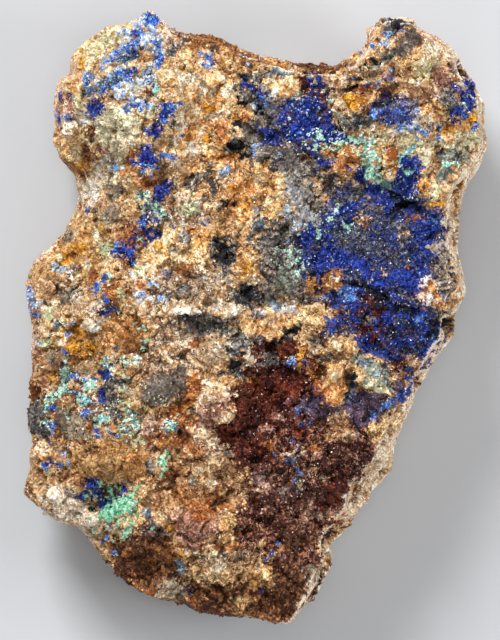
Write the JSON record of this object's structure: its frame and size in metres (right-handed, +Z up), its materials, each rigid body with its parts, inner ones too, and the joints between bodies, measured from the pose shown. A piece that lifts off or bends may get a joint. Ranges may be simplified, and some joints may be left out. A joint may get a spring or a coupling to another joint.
{
  "type": "metazeunerite specimen",
  "caption": "Broken lump of iron-stained rock lying on its back, its upper face set with crusts of deep blue azurite and mint green metazeunerite crystals.",
  "frame": {"origin": "on the surface that the specimen lies on, under the middle of its box", "axes": "+Z up out of the mineralised face, +Y towards the end with two lobes, +X to the right of the face seen from above"},
  "size_m": [0.068, 0.09, 0.0283],
  "materials": {
    "matrix": "rough, granular, stained tan, rust, maroon and cream",
    "azurite": "sparkling deep blue crystals",
    "metazeunerite": "waxy mint green platy crystals"
  },
  "bodies": {
    "root": {"matrix": "matrix", "azurite_field": "azurite", "azurite_lower_field": "azurite", "azurite_upper_field": "azurite", "azurite_lobe_patch": "azurite", "azurite_crest_streak": "azurite", "azurite_brow_streak": "azurite", "azurite_seam_top": "azurite", "azurite_seam_middle": "azurite", "azurite_seam_lower": "azurite", "metazeunerite_rim": "metazeunerite", "metazeunerite_field_edge": "metazeunerite", "metazeunerite_seam": "metazeunerite", "metazeunerite_left_cluster": "metazeunerite", "metazeunerite_streak": "metazeunerite", "pocket_crust": "metazeunerite"}
  },
  "joints": []
}
